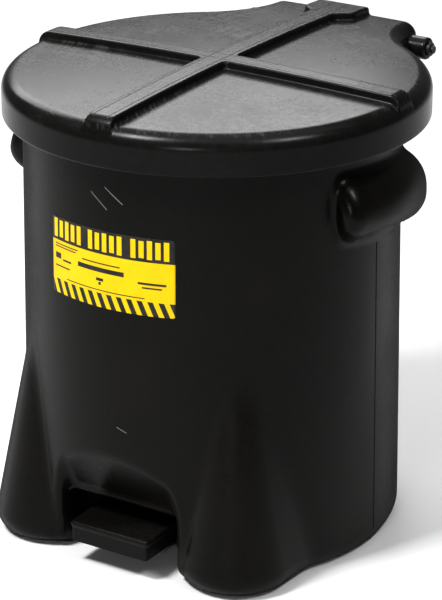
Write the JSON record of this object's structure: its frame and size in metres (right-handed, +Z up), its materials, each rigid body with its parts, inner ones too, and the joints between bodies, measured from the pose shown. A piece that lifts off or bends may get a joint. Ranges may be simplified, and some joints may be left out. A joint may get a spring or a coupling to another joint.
{
  "type": "oily waste can",
  "caption": "Round moulded waste can on two front feet, with a foot pedal and linkage that lift a hinged self-closing teardrop lid with a raised cross.",
  "frame": {"origin": "on the floor, under the middle of the overall bounding box", "axes": "+Z up; -Y is the front, where the pedal is; +X is to the right seen from the front; symmetric about X = 0 apart from pin heads and clips"},
  "size_m": [0.422, 0.4684, 0.473],
  "materials": {
    "can_plastic": "satin moulded polyethylene, black",
    "lid_plastic": "satin moulded polyethylene, black, with fine swirl marks",
    "pedal_plastic": "matte moulded plastic, black",
    "label_yellow": "printed vinyl, yellow and black",
    "bush_nylon": "natural nylon",
    "black_steel": "black coated sheet steel",
    "zinc_steel": "zinc plated steel"
  },
  "bodies": {
    "can": {"body_shell": "can_plastic", "front_label": "label_yellow", "hinge_rod": "zinc_steel", "hinge_rod_push_nuts": "zinc_steel", "axle_bracket_left": "black_steel", "axle_bracket_right": "black_steel", "axle_bracket_screws": "zinc_steel", "pedal_axle": "zinc_steel", "pedal_axle_push_nuts": "zinc_steel", "rod_guide": "black_steel", "rod_guide_screws": "zinc_steel"},
    "lid": {"lid_shell": "lid_plastic", "hinge_bush_left": "bush_nylon", "hinge_bush_right": "bush_nylon", "lift_bracket": "black_steel", "lift_bracket_screws": "zinc_steel", "lift_pin": "zinc_steel", "lift_pin_clip": "zinc_steel"},
    "pedal": {"foot_pedal": "pedal_plastic", "pedal_screws": "zinc_steel", "pedal_lever": "black_steel", "pivot_tube": "black_steel", "lever_rear_pin": "zinc_steel", "lever_rear_pin_clip": "zinc_steel", "lever_rear_pin_spacers": "bush_nylon"},
    "rod": {"lift_rod": "zinc_steel", "upper_rod_eye": "zinc_steel", "lower_rod_eye": "zinc_steel", "rod_jam_nuts": "zinc_steel"}
  },
  "joints": [
    {"name": "lid_hinge", "type": "hinge", "parent": "can", "child": "lid", "pos_m": [0, 0.2112, 0.4375], "axis": [-1, 0, 0], "range_deg": [0, 60]},
    {"name": "pedal_pivot", "type": "hinge", "parent": "can", "child": "pedal", "pos_m": [0, -0.0853, 0.034], "axis": [1, 0, 0], "range_deg": [0, 7.4]},
    {"name": "rod_pivot", "type": "hinge", "parent": "pedal", "child": "rod", "pos_m": [0, 0.17948, 0.017], "axis": [1, 0, 0], "range_deg": [-7.4, 0]}
  ],
  "couplings": [
    {"joint": "pedal_pivot", "follows": "lid_hinge", "ratio": 0.12245},
    {"joint": "rod_pivot", "follows": "lid_hinge", "ratio": -0.12245}
  ]
}
